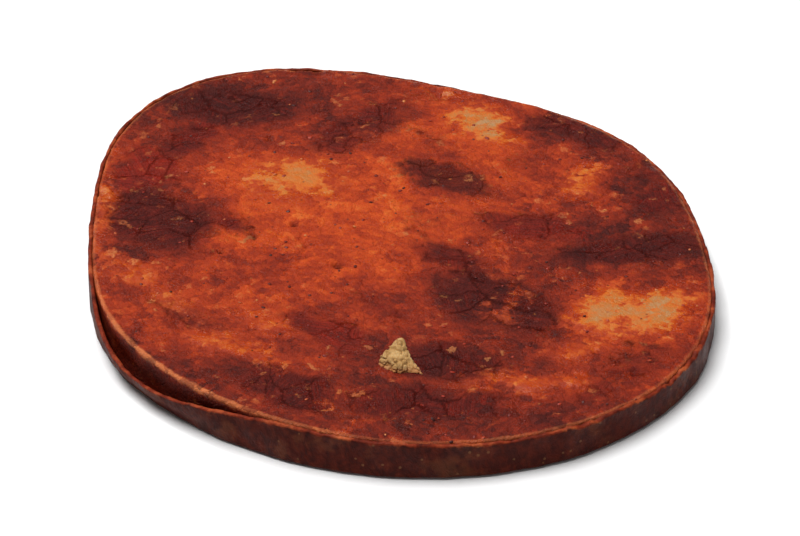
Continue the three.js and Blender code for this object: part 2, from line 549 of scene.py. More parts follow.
# %% Build the meat
WALL_RELIEF = 0.03
RIM_DROOP = 0.04  # how far the face dries down near its rim


def turned_out(radius, bearing, height):
    """Points at a distance from the middle, on a bearing, at a height."""
    return np.stack([radius * np.cos(bearing), radius * np.sin(bearing), height], axis=1)


def face_points(cells, inset):
    bearing, share = squeezed_grid(cells)
    radius = share * (meat_edge(bearing) - inset)
    return turned_out(radius, bearing, np.zeros_like(radius))


def wall_rows():
    """How far in each row of the wall is, how far under the top, and its share of the rest."""
    for turn in np.radians([20, 40, 60, 90]):
        yield UPPER_ROUND * (1 - math.sin(turn)), UPPER_ROUND * (1 - math.cos(turn)), 0.0
    for share in (0.17, 0.34, 0.5, 0.66, 0.83, 1.0):
        yield 0.0, UPPER_ROUND, share
    for turn in np.radians([30, 60]):
        yield LOWER_ROUND * (1 - math.cos(turn)), UPPER_ROUND + LOWER_ROUND * math.sin(turn), 1.0


def wall_points(top, bearing):
    """Rows of vertices from under the upper rim, at the height top, down to the lower rim."""
    edge = meat_edge(bearing)
    rest = top - UPPER_ROUND - LOWER_ROUND
    return [
        turned_out(edge - inset, bearing, top - drop - share * rest)
        for inset, drop, share in wall_rows()
    ]


upper = face_points(UPPER_CELLS, UPPER_ROUND)
upper[:, 2] = face_height(upper[:, 0], upper[:, 1])
upper_fields = marbling(upper)
outwards = np.hypot(upper[:, 0] / half_wide, upper[:, 1] / half_deep)
upper[:, 2] += face_relief(upper, upper_fields) - RIM_DROOP * step_up(outwards, 0.93, 1.0)

lower = face_points(LOWER_CELLS, LOWER_ROUND)
lower_fields = marbling(lower)
lower[:, 2] = np.clip(0.06 - face_relief(lower, lower_fields) * 0.5, 0.0, 0.3)

upper_rim = grid_border(UPPER_CELLS, 0)
rim_bearing = np.arctan2(upper[upper_rim, 1], upper[upper_rim, 0])
rows = wall_points(upper[upper_rim, 2], rim_bearing)
wall = np.concatenate(rows)
wall_fields = marbling(wall)
wall_out = wall[:, :2] / np.linalg.norm(wall[:, :2], axis=1)[:, None]
wall[:, :2] += wall_out * (WALL_RELIEF * rough_bumps(wall, 1.2, 310))[:, None]

points = np.concatenate([upper, wall, lower])
fields = {
    name: np.concatenate([upper_fields[name], wall_fields[name], lower_fields[name]])
    for name in upper_fields
}
first_lower = len(upper) + len(wall)
rings = [upper_rim] + np.arange(len(upper), first_lower).reshape(len(rows), -1).tolist()
faces = grid_faces(UPPER_CELLS, 0, True) + grid_faces(LOWER_CELLS, first_lower, False)
for above, below in zip(rings, rings[1:]):
    for index in range(len(above)):
        after = (index + 1) % len(above)
        faces.append([above[index], below[index], below[after], above[after]])
last, base = rings[-1], grid_border(LOWER_CELLS, first_lower)
for index in range(len(base)):
    here, middle, after = last[2 * index], last[2 * index + 1], last[(2 * index + 2) % len(last)]
    base_here, base_after = base[index], base[(index + 1) % len(base)]
    faces += [[here, base_here, middle], [middle, base_here, base_after], [middle, base_after, after]]

meat = mesh_piece("cured_meat", points, faces, fields)
measured(meat)

# %% [markdown]
# ## Small tools for node trees
#
# Materials and Geometry Nodes are both graphs. Written out in full they hide what they do, so a Graph is a
# node tree with a short name for each move that is made again and again: add a node, do a sum, change
# smoothly between two levels, mix two colours. A value may be a number or another node's output.


# %% Graph
def seen(red, green, blue):
    """A colour as the eye reads it, 0 to 255, as the linear light that a shader wants."""
    share = [part / 255 for part in (red, green, blue)]
    return [s / 12.92 if s <= 0.04045 else ((s + 0.055) / 1.055) ** 2.4 for s in share] + [1.0]


class Graph:
    def __init__(self, tree):
        self.tree = tree

    def feed(self, socket, value):
        """Gives a socket a plain value, or links another node's output to it."""
        if isinstance(value, bpy.types.NodeSocket):
            self.tree.links.new(value, socket)
        else:
            socket.default_value = value

    def add(self, kind, inputs=(), **settings):
        """A new node with its settings, and its inputs by name or by number."""
        node = self.tree.nodes.new(kind)
        for name, value in settings.items():
            setattr(node, name, value)
        for name, value in dict(inputs).items():
            self.feed(node.inputs[name], value)
        return node

    def out(self, kind, inputs=(), **settings):
        """A new node's first output."""
        return self.add(kind, inputs, **settings).outputs[0]

    def math(self, operation, *values):
        return self.out("ShaderNodeMath", enumerate(values), operation=operation)

    def times(self, product, *others):
        for other in others:
            product = self.math("MULTIPLY", product, other)
        return product

    def weighted(self, total, *terms):
        """A first value, plus each of the others times its weight."""
        for value, weight in terms:
            total = self.math("MULTIPLY_ADD", value, weight, total)
        return total

    def centred(self, value):
        """A value from 0 to 1, brought to either side of 0."""
        return self.math("SUBTRACT", value, 0.5)

    def rise(self, value, low, high, start=0.0, end=1.0):
        """start below low, end above high, and a smooth change between."""
        values = enumerate((value, low, high, start, end))
        return self.out("ShaderNodeMapRange", values, interpolation_type="SMOOTHSTEP")

    def vector(self, operation, *values):
        return self.out("ShaderNodeVectorMath", enumerate(values), operation=operation)

    def scaled(self, vector, scale):
        return self.out("ShaderNodeVectorMath", {0: vector, "Scale": scale}, operation="SCALE")

    def split(self, vector):
        return self.add("ShaderNodeSeparateXYZ", {"Vector": vector}).outputs

    def joined(self, x=0.0, y=0.0, z=0.0):
        return self.out("ShaderNodeCombineXYZ", {"X": x, "Y": y, "Z": z})

    def noise(self, vector, size, detail=3.0, roughness=0.55):
        """Noise between 0 and 1 with bumps about size across, in the vector's units."""
        given = isinstance(size, bpy.types.NodeSocket)
        scale = self.math("DIVIDE", 1.0, size) if given else 1 / size
        inputs = {"Vector": vector, "Scale": scale, "Detail": detail, "Roughness": roughness}
        return self.out("ShaderNodeTexNoise", inputs)

    def place(self):
        """The piece's own coordinates, in millimetres."""
        return self.scaled(self.add("ShaderNodeTexCoord").outputs["Object"], 1 / MM)

    def field(self, name):
        """A value that the mesh carries at its vertices."""
        return self.add("ShaderNodeAttribute", attribute_name=name).outputs["Fac"]

    def blended(self, share, first, second):
        """Two colours mixed: the first at 0 and the second at 1."""
        node = self.add("ShaderNodeMix", data_type="RGBA")
        sockets = {socket.identifier: socket for socket in (*node.inputs, *node.outputs)}
        for name, value in (("Factor_Float", share), ("A_Color", first), ("B_Color", second)):
            self.feed(sockets[name], value)
        return sockets["Result_Color"]

    def ramp(self, value, stops):
        """A colour ramp from rows of place, red, green and blue."""
        node = self.add("ShaderNodeValToRGB", {0: value})
        elements = node.color_ramp.elements
        while len(elements) < len(stops):
            elements.new(0.5)
        for element, (place, *colour) in zip(elements, stops):
            element.position = place
            element.color = seen(*colour)
        return node.outputs[0]

    def use(self, group, **values):
        """A shader group placed in the tree. Its outputs come back by name."""
        return self.add("ShaderNodeGroup", values, node_tree=group).outputs

    def stored(self, geometry, name, value, kind="FLOAT", domain="POINT"):
        """Geometry that carries a value under a name."""
        inputs = {"Geometry": geometry, "Name": name, "Value": value}
        return self.out("GeometryNodeStoreNamedAttribute", inputs, data_type=kind, domain=domain)

    def named(self, name, kind="FLOAT"):
        return self.out("GeometryNodeInputNamedAttribute", {"Name": name}, data_type=kind)

    def painted(self, geometry, material):
        """Geometry made real, with its material: the end of every geometry tree."""
        whole = self.out("GeometryNodeRealizeInstances", {"Geometry": geometry})
        return self.out("GeometryNodeSetMaterial", {"Geometry": whole, "Material": material})


# The kinds of the sockets that aren't plain numbers
SOCKET_KINDS = {"Geometry": "Geometry", "Place": "Vector", "Seed": "Int", "Material": "Material"}


def new_tree(name, kind, inputs, outputs):
    """An empty tree with named sockets: its graph, what it is given and what it gives back."""
    tree = bpy.data.node_groups.new(name, kind)
    for way, labels in (("INPUT", inputs), ("OUTPUT", outputs)):
        for label in labels:
            socket = "NodeSocket" + SOCKET_KINDS.get(label, "Float")
            tree.interface.new_socket(label, in_out=way, socket_type=socket)
    g = Graph(tree)
    return g, g.add("NodeGroupInput").outputs, g.add("NodeGroupOutput").inputs


print("red paprika as linear light:", [round(part, 3) for part in seen(154, 48, 14)])

# %% [markdown]
# ## Shader groups that the finishes share
#
# Four effects are used more than once. Fibres are long thin streaks that follow a direction: lean has them,
# and so has the casing. Specks are small separate spots of spice or dust. Mince is a mosaic of small
# grains. A film is what is left of the fat and the juice on a cut face: some patches are glossier than
# others. Each is a node group with named sockets, so a material only says how long, how dense or how wet.


# %% Fibres
def fibre_group():
    """Streaks of a length and a width along a direction that turns about Z."""
    inputs = ("Place", "Turn", "Length", "Width")
    g, given, result = new_tree("meat fibres", "ShaderNodeTree", inputs, ("Streaks", "Threads"))
    turned = {"Vector": given["Place"], "Angle": given["Turn"]}
    spot = g.split(g.out("ShaderNodeVectorRotate", turned, rotation_type="Z_AXIS"))
    sides = (("X", "Length"), ("Y", "Width"), ("Z", "Width"))
    drawn_out = g.joined(*(g.math("DIVIDE", spot[axis], given[side]) for axis, side in sides))
    streaks = g.noise(drawn_out, 1.0, detail=3.0, roughness=0.6)
    threads = g.noise(drawn_out, 0.4, detail=2.0, roughness=0.5)
    g.feed(result["Streaks"], g.rise(streaks, 0.3, 0.7))
    g.feed(result["Threads"], g.rise(threads, 0.35, 0.65))
    return g.tree


FIBRES = fibre_group()
print(FIBRES.name, "ready")


# %% Specks
def speck_group():
    """Small separate spots, some missing, each with a tone of its own."""
    inputs = ("Place", "Spacing", "Size", "Share")
    g, given, result = new_tree("specks", "ShaderNodeTree", inputs, ("Mask", "Tone"))
    near = g.noise(given["Place"], 0.35, detail=2.0)
    scale = g.math("DIVIDE", 1.0, given["Spacing"])
    cells = g.add("ShaderNodeTexVoronoi", {"Vector": given["Place"], "Scale": scale}).outputs
    size = g.math("DIVIDE", given["Size"], given["Spacing"])
    ragged = g.times(size, g.math("ADD", 0.5, near))
    inside = g.math("SUBTRACT", ragged, cells["Distance"])
    parts = g.add("ShaderNodeSeparateColor", {"Color": cells["Color"]}).outputs
    kept = g.math("LESS_THAN", parts["Red"], given["Share"])
    spot = g.rise(inside, 0.0, g.times(size, 0.35))
    g.feed(result["Mask"], g.times(spot, kept))
    g.feed(result["Tone"], parts["Green"])
    return g.tree


SPECKS = speck_group()
print(SPECKS.name, "ready")


# %% Mince
def mince_group():
    """Grains of mince: each with a tone of its own, and how near a point is to its grain's border."""
    g, given, result = new_tree("mince", "ShaderNodeTree", ("Place", "Size"), ("Tone", "Border"))
    scaled = g.scaled(given["Place"], g.math("DIVIDE", 1.0, given["Size"]))
    wobble = {"Vector": scaled, "Scale": 1.3, "Detail": 3.0, "Roughness": 0.6}
    wobble = g.add("ShaderNodeTexNoise", wobble).outputs["Color"]
    push = g.scaled(g.vector("SUBTRACT", wobble, (0.5, 0.5, 0.5)), 1.5)
    cell = {"Vector": g.vector("ADD", scaled, push), "Scale": 1.0}
    tones = g.add("ShaderNodeTexVoronoi", cell).outputs["Color"]
    borders = g.add("ShaderNodeTexVoronoi", cell, feature="DISTANCE_TO_EDGE").outputs["Distance"]
    g.feed(result["Tone"], g.add("ShaderNodeSeparateColor", {"Color": tones}).outputs["Red"])
    g.feed(result["Border"], g.rise(borders, 0.0, 0.12, 1.0, 0.0))
    return g.tree


MINCE = mince_group()
print(MINCE.name, "ready")


# %% Film
def film_group():
    """How rough a surface is where a film of fat lies on it in patches."""
    inputs = ("Place", "Patch", "Dry", "Wet")
    g, given, result = new_tree("film of fat", "ShaderNodeTree", inputs, ("Roughness",))
    scaled = g.scaled(given["Place"], g.math("DIVIDE", 1.0, given["Patch"]))
    patches = g.rise(g.noise(scaled, 1.0, detail=4.0), 0.38, 0.64)
    change = g.times(g.math("SUBTRACT", given["Wet"], given["Dry"]), patches)
    g.feed(result["Roughness"], g.math("ADD", given["Dry"], change))
    return g.tree


FILM = film_group()
print(FILM.name, "ready")

# %% [markdown]
# ## The finish of the cut meat
#
# A picture could be wrapped round the slice, but it would blur close up and stretch down the wall. Instead
# the mesh carries, at each vertex, how deep it is in fat or in lean, and the shader adds fine noise to that
# depth before it cuts the edge, so borders stay crisp and ragged at any distance. From back to front the
# layers are: paste and chunks from dark red to orange, dark lean with its fibres, fat that is stained orange
# near its edge, small grains of fat, specks of paprika, air holes darkened by painted shade, painted shade
# down the wall and under the slice, and a painted highlight along the rim of the cut.


# %% Meat material
def new_material(name):
    """A material, its graph and its shader."""
    material = bpy.data.materials.new(name)
    material.use_nodes = True
    g = Graph(material.node_tree)
    g.tree.nodes.clear()
    shader = g.add("ShaderNodeBsdfPrincipled")
    g.add("ShaderNodeOutputMaterial", {"Surface": shader.outputs[0]})
    return material, g, shader


def finish(g, shader, colour, roughness, relief=None, **constants):
    """Gives a shader its inputs and constants. Relief is a height, a strength and a depth in mm."""
    g.feed(shader.inputs["Base Color"], colour)
    g.feed(shader.inputs["Roughness"], roughness)
    if relief:
        height, strength, depth = relief
        bump = {"Height": height, "Strength": strength, "Distance": depth * MM}
        g.feed(shader.inputs["Normal"], g.out("ShaderNodeBump", bump))
    for name, value in constants.items():
        shader.inputs[name.replace("_", " ")].default_value = value


def meat_material():
    material, g, shader = new_material("cured_meat")
    place = g.place()
    ragged = g.centred(g.noise(place, 0.8, detail=6.0, roughness=0.62))
    mottle = g.centred(g.noise(place, 2.2, detail=6.0, roughness=0.62))
    grit = g.centred(g.noise(place, 0.2, detail=4.0, roughness=0.65))
    coarse = g.use(MINCE, Place=place, Size=1.25)
    fine = g.use(MINCE, Place=place, Size=0.48)
    coarse_off, fine_off = g.centred(coarse["Tone"]), g.centred(fine["Tone"])
    fibres = g.use(FIBRES, Place=place, Turn=g.field("grain_turn"), Length=2.2, Width=0.17)
    drift = g.weighted(-0.45, (g.noise(place, 9.0, detail=1.0), 2.4))
    smear = g.use(FIBRES, Place=place, Turn=drift, Length=2.6, Width=0.45)

    # Paste and chunks
    minced = ((coarse["Tone"], 0.20), (fine["Tone"], 0.20), (smear["Streaks"], 0.10))
    chunky = ((g.field("oil"), 0.27), (g.field("shade"), 0.14))
    colour = g.ramp(g.weighted(0.03, *chunky, *minced, (mottle, 0.5), (grit, 0.26)), PASTE_COLOURS)

    # Lean
    edge = g.weighted(g.field("lean_depth"), (ragged, 1.5), (coarse_off, 0.6), (fine_off, 0.6))
    lean = g.rise(edge, -0.6, 0.3)
    tone = g.weighted(g.times(fibres["Streaks"], 0.34), (mottle, 0.6), (fine["Tone"], 0.16), (grit, 0.3))
    tone = g.weighted(tone, (g.field("bright_lean"), 0.5))
    colour = g.blended(g.times(lean, 0.88), colour, g.ramp(tone, LEAN_COLOURS))

    # Fat, which is cleaner the further it is from its edge
    edge = g.weighted(g.field("fat_depth"), (ragged, 1.5), (fine_off, 0.5), (coarse_off, 0.4))
    fat = g.rise(edge, -0.9, 0.3)
    clean = g.times(g.weighted(0.42, (g.field("cream"), 0.5)), g.rise(edge, -0.5, 1.5))
    tone = g.weighted(clean, (coarse_off, 0.22), (fine_off, 0.16), (mottle, 0.8), (grit, 0.35))
    colour = g.blended(g.times(fat, 0.94), colour, g.ramp(tone, FAT_COLOURS))

    # Small grains of fat, spice, and painted shade in the air holes
    patchy = g.math("ADD", mottle, coarse["Tone"])
    grain = g.rise(g.weighted(fine["Tone"], (grit, 0.5)), 0.88, 1.02)
    grain = g.times(grain, g.rise(patchy, 0.5, 1.0))
    colour = g.blended(g.times(grain, 0.6), colour, g.ramp(coarse["Tone"], GRAIN_COLOURS))
    specks = g.use(SPECKS, Place=place, Spacing=0.62, Size=0.11, Share=0.35)
    colour = g.blended(g.times(specks["Mask"], 0.55), colour, g.ramp(specks["Tone"], SPICE_COLOURS))
    # painted shade: the air holes darkened nearly to black, as if in shade
    colour = g.blended(g.times(g.field("pit"), 0.9), colour, seen(40, 6, 4))

    # The edge: a painted highlight along the rim of the cut, and painted shade down the side and underneath
    # painted highlight: a pale line along the rim of the cut, in patches, strongest where the casing has
    # come loose
    line = g.rise(g.weighted(g.field("rim"), (ragged, 0.9)), 0.3, 0.75)
    painted_rim_highlight_share = g.times(g.rise(patchy, 0.0, 0.7, 0.35, 0.85), g.rise(g.field("peeled"), -0.4, 0.5))
    # painted shade: the wall and the lower face darkened towards a dark red, as if in shade
    colour = g.blended(g.times(g.field("side"), 0.65), colour, seen(70, 14, 6))
    colour = g.blended(g.times(line, painted_rim_highlight_share), colour, seen(206, 116, 66))

    # Shine and fine relief, which is softer on the fat
    film = g.use(FILM, Place=place, Patch=1.6, Dry=0.62, Wet=0.3)
    height = g.weighted(g.times(fibres["Threads"], lean, 0.35), (grit, 1.3), (ragged, 1.0))
    height = g.weighted(height, (fine["Border"], -0.25), (coarse["Border"], -0.3))
    height = g.times(height, g.rise(fat, 0.0, 1.0, 1.0, 0.4))
    finish(
        g,
        shader,
        colour,
        g.weighted(film["Roughness"], (fat, -0.12)),
        (height, 1.0, 0.09),
        IOR=1.38,
        Specular_IOR_Level=0.28,
        Subsurface_Weight=0.18,
        Subsurface_Radius=(1.0, 0.35, 0.2),
        Subsurface_Scale=0.3 * MM,
    )
    return material


# Each row is a place along its ramp, then red, green and blue as the eye reads them
PASTE_COLOURS = [
    (0.04, 70, 14, 7),
    (0.22, 104, 26, 10),
    (0.40, 136, 38, 13),
    (0.56, 164, 52, 16),
    (0.74, 192, 70, 20),
    (0.95, 212, 98, 34),
]
LEAN_COLOURS = [(0.0, 52, 8, 6), (0.3, 74, 14, 9), (0.6, 104, 22, 12), (0.95, 140, 30, 16)]
FAT_COLOURS = [
    (0.0, 154, 48, 14),
    (0.25, 176, 68, 20),
    (0.5, 196, 104, 38),
    (0.72, 178, 111, 56),
    (0.95, 170, 130, 88),
]
GRAIN_COLOURS = [(0.2, 166, 60, 22), (0.6, 186, 90, 40), (0.95, 190, 120, 70)]
SPICE_COLOURS = [(0.0, 56, 16, 12), (0.5, 110, 24, 14), (0.85, 160, 44, 20), (1.0, 196, 120, 60)]
meat.data.materials.append(meat_material())
print("meat painted by", len(meat.data.materials[0].node_tree.nodes), "nodes")

# %% [markdown]
# ## The casing
#
# A natural casing dries on to the meat as a thin wrinkled skin. On a slice it is a band about 0.3 mm thick
# that follows the rim, and a shape that follows a path is work for Geometry Nodes: a small rounded profile
# swept round a rail. The rail is the middle of the CAD casing's wall, and it carries three values: which way
# is out, how loose the casing is there, and how torn. The nodes then seat each point by rule: the band is as
# high as the slice is thick at that place, sags where it is loose but is still held at its foot, wrinkles on
# its outside, and has a torn upper edge.

# %% The casing's rail
TORN_BEARING = -42  # where the upper edge is most torn, in degrees
TORN_SPREAD = 30
CASING_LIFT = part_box("casing")[0].z / MM
CASING_THICK = float(np.median(casing_outside - casing_inside))

from_tear = np.degrees(np.angle(np.exp(1j * (BEARINGS - math.radians(TORN_BEARING)))))
torn = 0.3 + 0.7 * np.exp(-(from_tear / TORN_SPREAD) ** 2)
rail_radius = (casing_inside + casing_outside) / 2
rail_points = np.stack([rail_radius * np.cos(BEARINGS), rail_radius * np.sin(BEARINGS)], axis=1)
rail_along = np.roll(rail_points, -1, axis=0) - np.roll(rail_points, 1, axis=0)
rail_along /= np.linalg.norm(rail_along, axis=1)[:, None]
rail_out = np.stack([rail_along[:, 1], -rail_along[:, 0], np.zeros(len(BEARINGS))], axis=1)


def rail_object():
    mesh = bpy.data.meshes.new("casing_rail")
    corners = [(x * MM, y * MM, 0.0) for x, y in rail_points]
    edges = [(index, (index + 1) % len(corners)) for index in range(len(corners))]
    mesh.from_pydata(corners, edges, [])
    mesh.attributes.new("out", "FLOAT_VECTOR", "POINT").data.foreach_set("vector", rail_out.ravel())
    for name, values in (("loose", looseness), ("torn", torn)):
        mesh.attributes.new(name, "FLOAT", "POINT").data.foreach_set("value", values)
    return new_piece("sausage_casing", mesh)


print("casing, mm thick:", round(CASING_THICK, 2))


# %% Running a tree
def plain_mesh(piece):
    """Leaves a piece as the plain mesh that its modifiers make of it."""
    graph = bpy.context.evaluated_depsgraph_get()
    mesh = bpy.data.meshes.new_from_object(piece.evaluated_get(graph), depsgraph=graph)
    piece.modifiers.clear()
    piece.data = mesh


def run_tree(piece, tree, **values):
    """Runs a tree on a piece, with the tree's inputs by name."""
    modifier = piece.modifiers.new(tree.name, "NODES")
    modifier.node_group = tree
    for item in tree.interface.items_tree:
        label = item.name.replace(" ", "_")
        if item.in_out == "INPUT" and label in values:
            modifier[item.identifier] = values[label]
    bpy.context.view_layer.update()
    plain_mesh(piece)
    return piece


print(len(bpy.data.node_groups), "node groups so far")


# %% The casing's tree
def casing_tree_of_nodes():
    inputs = ("Geometry", "Thickness", "Lift", "Middle Height", "Slope", "Sag", "Stand Off")
    inputs += ("Wrinkle Depth", "Wrinkle Size", "Tear Depth", "Step", "Material")
    g, given, result = new_tree("casing band", "GeometryNodeTree", inputs, ("Geometry",))
    thickness, middle = given["Thickness"], given["Middle Height"]
    rail = g.out("GeometryNodeMeshToCurve", {"Mesh": given["Geometry"]})
    rail = g.stored(rail, "rail", g.out("GeometryNodeInputPosition"), "FLOAT_VECTOR")

    # The band's profile, which carries how far across the band and how far up it each point is
    outline = g.out("GeometryNodeCurvePrimitiveQuadrilateral", {"Width": thickness, "Height": middle})
    rounded = {"Curve": outline, "Radius": g.times(thickness, 0.35), "Count": 3}
    rounded = g.out("GeometryNodeFilletCurve", rounded, mode="POLY")
    profile = {"Curve": rounded, "Length": given["Step"]}
    profile = g.out("GeometryNodeResampleCurve", profile, mode="LENGTH")
    spot = g.split(g.out("GeometryNodeInputPosition"))
    profile = g.stored(profile, "across", g.math("DIVIDE", spot["X"], g.times(thickness, 0.5)))
    profile = g.stored(profile, "up", g.math("ADD", g.math("DIVIDE", spot["Y"], middle), 0.5))
    band = g.out("GeometryNodeCurveToMesh", {"Curve": rail, "Profile Curve": profile})

    # How high each point is
    across, up, loose = g.named("across"), g.named("up"), g.named("loose")
    foot = g.named("rail", "FLOAT_VECTOR")
    full = g.weighted(middle, (g.split(foot)["X"], given["Slope"]))
    full = g.times(full, g.math("SUBTRACT", 1.0, g.times(loose, given["Sag"])))
    around = g.scaled(foot, 1 / MM)
    tear = g.centred(g.noise(around, 1.5, detail=6.0, roughness=0.66))
    tear = g.times(tear, g.named("torn"), given["Tear Depth"], g.rise(up, 0.55, 1.0))
    height = g.math("ADD", g.weighted(given["Lift"], (up, full)), tear)

    # How far out it is: wrinkled on its outside, flared where it is loose, and held at its foot
    wrinkled = g.vector("ADD", around, g.joined(z=g.times(up, 0.5)))
    crease = g.times(g.centred(g.noise(wrinkled, given["Wrinkle Size"])), given["Wrinkle Depth"])
    half = g.times(thickness, 0.5, across)
    push = g.weighted(half, (crease, g.rise(across, -0.2, 0.7)))
    push = g.math("ADD", push, g.times(loose, thickness, up))
    still_held = g.times(g.rise(up, 0.05, 0.75, 1.0, 0.0), loose)
    push = g.math("SUBTRACT", push, g.times(still_held, given["Stand Off"]))
    moved = g.vector("ADD", foot, g.scaled(g.named("out", "FLOAT_VECTOR"), push))
    moved = g.vector("ADD", moved, g.joined(z=height))
    band = g.out("GeometryNodeSetPosition", {"Geometry": band, "Position": moved})
    band = g.out("GeometryNodeSetShadeSmooth", {"Geometry": band})
    g.feed(result["Geometry"], g.painted(band, given["Material"]))
    return g.tree


CASING_TREE = casing_tree_of_nodes()
print(CASING_TREE.name, "has", len(CASING_TREE.nodes), "nodes")


# %% Casing material
def casing_material():
    material, g, shader = new_material("casing_skin")
    place = g.place()
    spot = g.split(place)
    wander = g.add("ShaderNodeTexNoise", {"Vector": place, "Scale": 0.7, "Detail": 3.0}).outputs["Color"]
    upright = g.vector("ADD", g.joined(spot["Z"], spot["X"], spot["Y"]), g.scaled(wander, 1.6))
    fibres = g.use(FIBRES, Place=upright, Turn=0.35, Length=1.6, Width=0.36)
    patches = g.noise(place, 3.2, detail=4.0, roughness=0.6)
    mottle = g.noise(place, 0.6, detail=4.0, roughness=0.6)
    colour = g.ramp(g.weighted(g.times(mottle, 0.85), (fibres["Streaks"], 0.2)), SKIN_COLOURS)

    # Dust and specks
    dust = g.rise(g.weighted(patches, (mottle, 0.5)), 0.72, 0.95)
    colour = g.blended(g.times(dust, 0.34), colour, seen(104, 60, 34))
    specks = g.use(SPECKS, Place=place, Spacing=0.6, Size=0.12, Share=0.35)
    colour = g.blended(g.times(specks["Mask"], 0.35), colour, seen(150, 104, 68))

    # The cut edge, paler: partly the skin's own cut, partly a painted highlight where light catches its top
    cut = g.rise(g.weighted(g.field("up"), (g.centred(mottle), 0.22)), 0.92, 1.0)
    along = g.noise(place, 1.6, detail=5.0, roughness=0.65)
    colour = g.blended(cut, colour, g.ramp(g.weighted(-0.4, (along, 1.7)), EDGE_COLOURS))
    film = g.use(FILM, Place=place, Patch=3.0, Dry=0.68, Wet=0.42)
    finish(
        g,
        shader,
        colour,
        film["Roughness"],
        (g.weighted(mottle, (fibres["Threads"], 0.25)), 0.9, 0.08),
        IOR=1.4,
        Specular_IOR_Level=0.14,
        Subsurface_Weight=0.12,
        Subsurface_Radius=(1.0, 0.3, 0.15),
        Subsurface_Scale=0.4 * MM,
    )
    return material


SKIN_COLOURS = [(0.15, 34, 7, 4), (0.45, 60, 15, 7), (0.7, 84, 26, 12), (0.95, 112, 46, 24)]
EDGE_COLOURS = [(0.15, 70, 18, 9), (0.45, 124, 42, 20), (0.8, 184, 92, 50)]
print(len(SKIN_COLOURS), "tones of skin and", len(EDGE_COLOURS), "of its cut edge")

# %% Build the casing
CASING_SHY = 0.08  # how far the casing's cut edge is below the cut face
face_slope = float(FACE[1])
unsloped = face_height(rail_points[:, 0], rail_points[:, 1]) - face_slope * rail_points[:, 0]
casing_middle = float(np.median(unsloped)) - CASING_LIFT - CASING_SHY
casing = run_tree(
    rail_object(),
    CASING_TREE,
    Thickness=CASING_THICK * MM,
    Lift=CASING_LIFT * MM,
    Middle_Height=casing_middle * MM,
    Slope=face_slope,
    Sag=0.46,
    Stand_Off=float(stand_off.max()) * MM,
    Wrinkle_Depth=0.42 * MM,
    Wrinkle_Size=3.4,
    Tear_Depth=1.3 * MM,
    Step=0.09 * MM,
    Material=casing_material(),
)
reshaped(casing, lambda shape: bmesh.ops.recalc_face_normals(shape, faces=shape.faces))
measured(casing)

# %% [markdown]
# ## The crumb
#
# A dry crumb is brittle foam: flat faces where it broke, and small open holes. The CAD crumb has its broken
# outline and its height. A copy of it is merged, remeshed into an even skin of small squares, drawn up to a
# broken peak, and then eaten into by noise, deepest where the noise is near zero, which cuts crisp creases
# between small lumps.

# %% Build the crumb
CRUMB_WELD = 0.001  # corners nearer than this are one corner
CRUMB_VOXEL = 0.045
CRUMB_SINK = 0.14  # it beds a little way into the soft face
CRUMB_STRETCH = 1.05  # makes up for the bedding in, so that its peak ends about as high as the CAD crumb
CRUMB_TAPER = 0.2  # how much narrower it is at its top than at its foot
CRUMB_PEAK = np.array([-0.05, 0.8, 0.0])  # its highest point, seen from above, from the middle of its box
CRUMB_FALL = 1.1  # how far the top falls away from its peak to its corners


def crumb_piece():
    piece = new_piece("crumb_flake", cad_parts["crumb"].data.copy())
    piece.data.materials.clear()
    weld = CRUMB_WELD * MM
    reshaped(piece, lambda shape: bmesh.ops.remove_doubles(shape, verts=shape.verts, dist=weld))
    modifier = piece.modifiers.new("even skin", "REMESH")
    modifier.mode = "VOXEL"
    modifier.voxel_size = CRUMB_VOXEL * MM
    plain_mesh(piece)
    return piece


def eat_into(piece):
    mesh = piece.data
    count = len(mesh.vertices)
    place, normal = np.zeros(count * 3), np.zeros(count * 3)
    mesh.vertices.foreach_get("co", place)
    mesh.vertices.foreach_get("normal", normal)
    place, normal = place.reshape(-1, 3) / MM, normal.reshape(-1, 3)
    low, high = place.min(axis=0), place.max(axis=0)
    up = (place[:, 2] - low[2]) / (high[2] - low[2])
    peak = (low + high) / 2 + CRUMB_PEAK
    place[:, :2] += (peak[:2] - place[:, :2]) * (CRUMB_TAPER * up ** 1.5)[:, None]
    away = np.hypot(*(place[:, :2] - peak[:2]).T) / (high[0] - low[0])
    drop = CRUMB_FALL * np.clip(away, 0, 1) * up
    place[:, 2] = low[2] + (place[:, 2] - low[2]) * CRUMB_STRETCH - drop
    big = bumps(place, 0.9, 501)
    holes = 1 - step_up(abs(bumps(place, 0.34, 502)), 0.0, 0.35)
    fine = rough_bumps(place, 0.16, 503, octaves=2)
    push = 0.16 * big - 0.10 * holes + 0.035 * fine
    place += normal * push[:, None]
    place[:, 2] -= CRUMB_SINK
    mesh.vertices.foreach_set("co", (place * MM).ravel())
    # hollow: the crumb's creases and small holes, plus fine noise; it darkens the colour there as painted
    # shade, with some random tone
    depth = mesh.attributes.new("hollow", "FLOAT", "POINT")
    depth.data.foreach_set("value", (holes + 0.4 * fine).astype(np.float32))
    mesh.shade_smooth()


